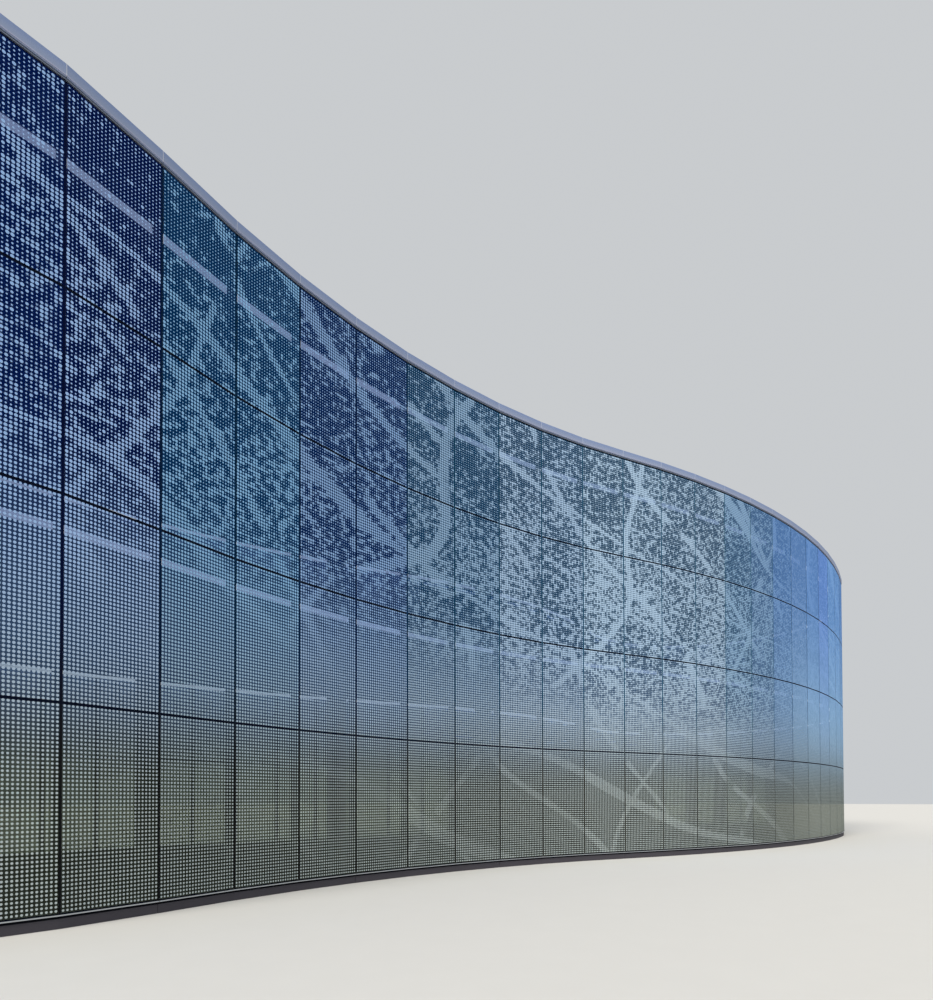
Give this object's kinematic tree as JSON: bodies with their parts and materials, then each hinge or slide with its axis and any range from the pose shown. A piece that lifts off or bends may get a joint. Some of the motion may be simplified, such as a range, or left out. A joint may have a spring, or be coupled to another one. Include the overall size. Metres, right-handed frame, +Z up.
{
  "type": "laboratory building",
  "caption": "Two-storey building with a flat roof and rounded ends, its winding curtain wall made of flat dotted glass panels under a metal coping.",
  "frame": {"origin": "centre of the plan at ground level", "axes": "+Z up, +X along the building, -Y out of the front wall that the picture shows"},
  "size_m": [39.0206, 11.68, 10.4],
  "materials": {
    "glass": "tinted glazing with a pale fired dot pattern",
    "mullion_metal": "dark anodised",
    "coping_metal": "satin grey coat",
    "plinth_stone": "dark smooth concrete",
    "concrete": "plain concrete",
    "joint_seal": "matt black",
    "dark_rail": "matt black coat",
    "sill_metal": "natural anodised",
    "ceiling_band": "pale satin coat"
  },
  "bodies": {
    "root": {"back_bulge_glass_lower": "glass", "back_bulge_glass_upper": "glass", "back_coping": "coping_metal", "back_hollow_glass_lower": "glass", "back_hollow_glass_upper": "glass", "back_lead_glass_lower": "glass", "back_lead_glass_upper": "glass", "back_mullions": "mullion_metal", "back_parapet": "concrete", "back_plinth": "plinth_stone", "base_rail": "dark_rail", "east_end_coping": "coping_metal", "east_end_glass_lower": "glass", "east_end_glass_upper": "glass", "east_end_mullions": "mullion_metal", "east_end_parapet": "concrete", "east_end_plinth": "plinth_stone", "front_bulge_glass_lower": "glass", "front_bulge_glass_upper": "glass", "front_coping": "coping_metal", "front_hollow_glass_lower": "glass", "front_hollow_glass_upper": "glass", "front_lead_glass_lower": "glass", "front_lead_glass_upper": "glass", "front_mullions": "mullion_metal", "front_parapet": "concrete", "front_plinth": "plinth_stone", "glazing_bead": "joint_seal", "ground_slab": "concrete", "head_rail": "dark_rail", "lower_ceiling_band": "ceiling_band", "lower_columns": "concrete", "roof_slab": "concrete", "row_rail_1": "joint_seal", "row_rail_2": "joint_seal", "row_rail_3": "joint_seal", "sill": "sill_metal", "upper_ceiling_band": "ceiling_band", "upper_columns": "concrete", "upper_floor_slab": "concrete", "west_end_coping": "coping_metal", "west_end_glass_lower": "glass", "west_end_glass_upper": "glass", "west_end_mullions": "mullion_metal", "west_end_parapet": "concrete", "west_end_plinth": "plinth_stone"}
  },
  "joints": []
}
